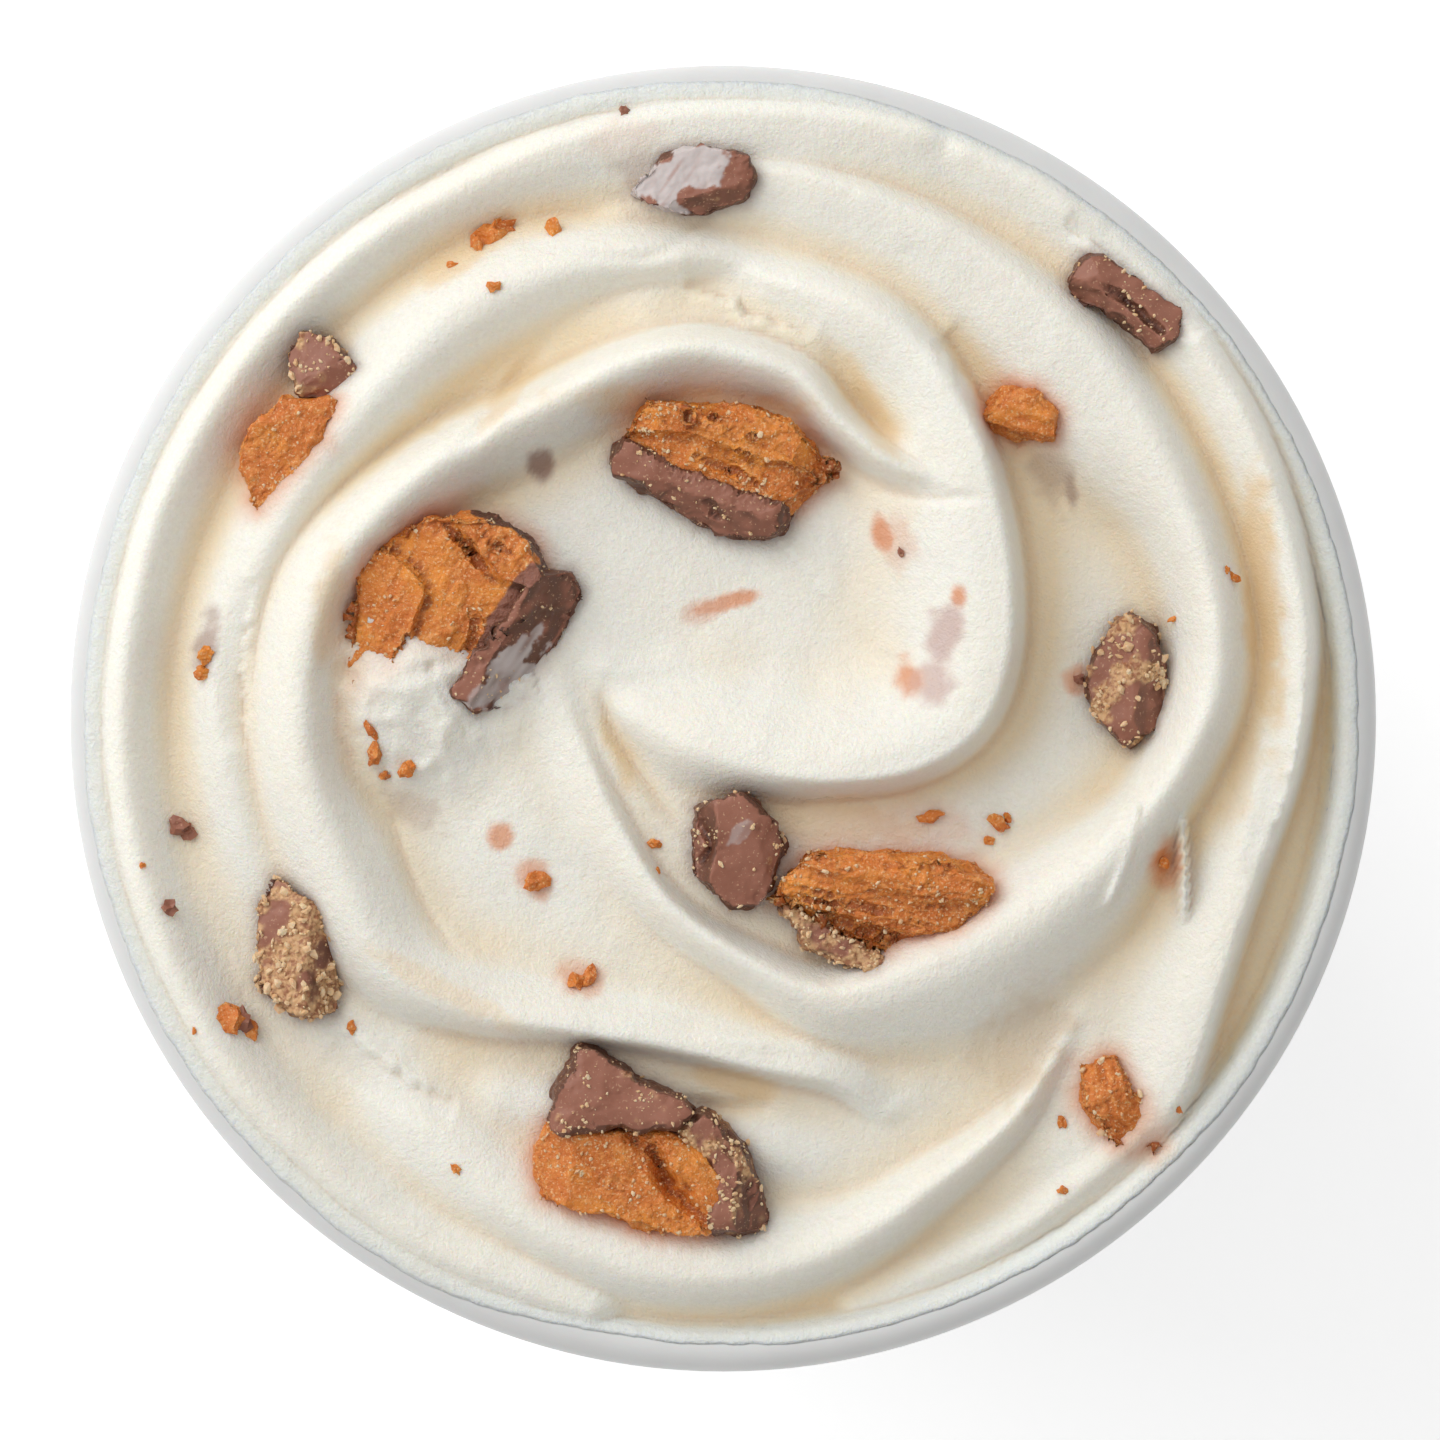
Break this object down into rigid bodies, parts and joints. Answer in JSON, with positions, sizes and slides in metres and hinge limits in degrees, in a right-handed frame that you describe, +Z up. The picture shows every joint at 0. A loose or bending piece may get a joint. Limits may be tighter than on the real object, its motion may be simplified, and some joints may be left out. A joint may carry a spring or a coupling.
{
  "type": "cup of vanilla soft ice cream with peanut butter crisp candy pieces",
  "caption": "Plain white paper cup filled past its rolled rim with swirled vanilla soft ice cream, set with broken chocolate-coated peanut butter crisp candy.",
  "frame": {"origin": "middle of the cup's foot, on the plane that the cup stands on", "axes": "+Z up out of the cup's mouth, +X to the right and +Y to the top of the picture, which looks straight down into the cup"},
  "size_m": [0.095, 0.095, 0.0926],
  "materials": {
    "paper": "matt white paper board",
    "soft_ice_cream": "soft moist cream",
    "crisp_core": "dry and flaky",
    "milk_chocolate": "satin"
  },
  "bodies": {
    "root": {"cup_sleeve": "paper", "cup_base": "paper", "soft_ice_cream": "soft_ice_cream", "chunk_left_crisp": "crisp_core", "chunk_top_crisp": "crisp_core", "chunk_middle_crisp": "crisp_core", "chunk_front_crisp": "crisp_core", "flake_left": "crisp_core", "flake_right": "crisp_core", "flake_front": "crisp_core", "chunk_left_coat": "milk_chocolate", "chunk_top_coat": "milk_chocolate", "chunk_middle_coat": "milk_chocolate", "chunk_front_coat_back": "milk_chocolate", "chunk_front_coat_side": "milk_chocolate", "shard_centre": "milk_chocolate", "shard_upper_left": "milk_chocolate", "shard_lower_left": "milk_chocolate", "shard_right": "milk_chocolate", "shard_upper_right": "milk_chocolate", "shard_back": "milk_chocolate"}
  },
  "joints": []
}
